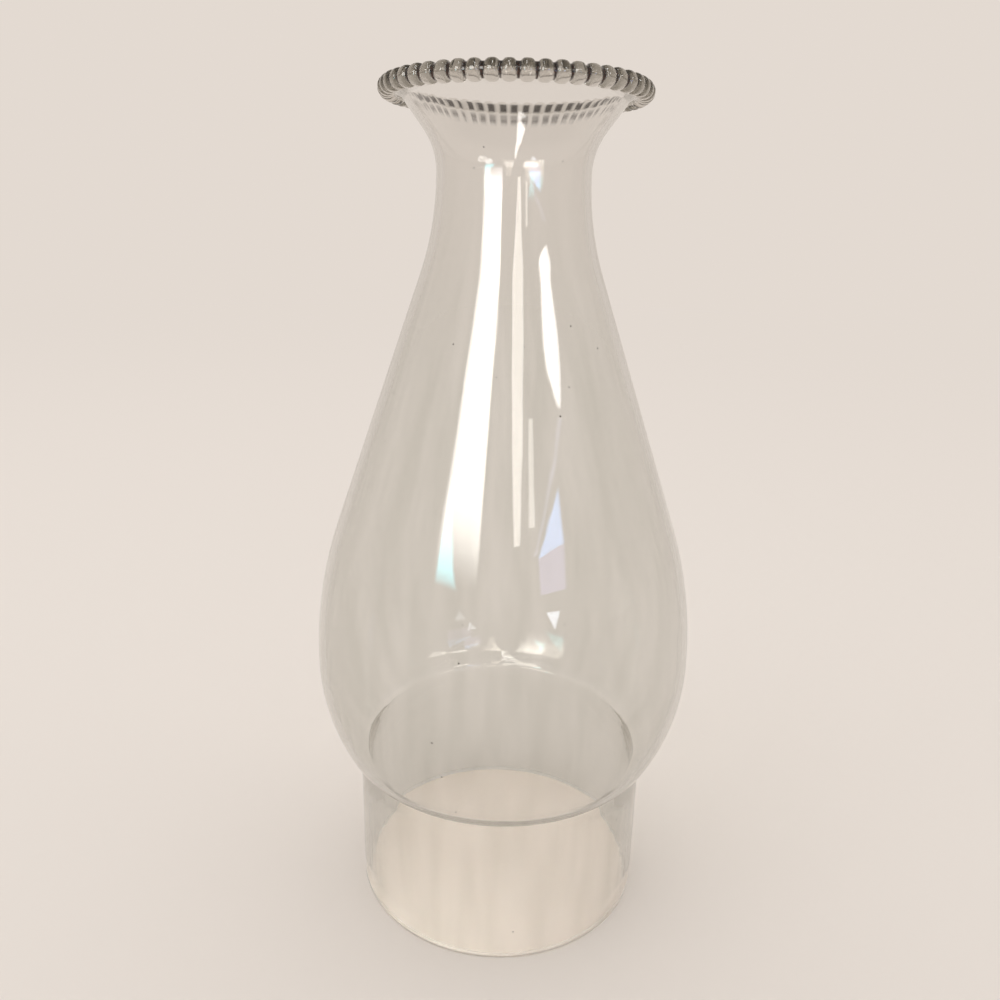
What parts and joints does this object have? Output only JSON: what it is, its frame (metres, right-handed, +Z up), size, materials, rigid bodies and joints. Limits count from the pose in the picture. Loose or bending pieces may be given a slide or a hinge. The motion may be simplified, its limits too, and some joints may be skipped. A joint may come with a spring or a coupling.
{
  "type": "glass lamp chimney",
  "caption": "Clear blown-glass chimney for an oil lamp: straight fitter collar, round bulb that tapers to a narrow neck, and a flared mouth with a beaded rim.",
  "frame": {"origin": "centre of the cut lower edge that the chimney stands on, on its axis", "axes": "+Z up along the chimney's axis, towards the beaded mouth; +X and +Y are any two directions square to it, because the chimney is round"},
  "size_m": [0.0958, 0.0958, 0.2025],
  "materials": {
    "clear_glass": "clear blown glass with a faint warm grey tint, polished by the fire"
  },
  "bodies": {
    "root": {"fitter_collar": "clear_glass", "lower_bulb": "clear_glass", "upper_bulb": "clear_glass", "shoulder": "clear_glass", "neck": "clear_glass", "flared_mouth": "clear_glass", "beaded_rim": "clear_glass"}
  },
  "joints": []
}
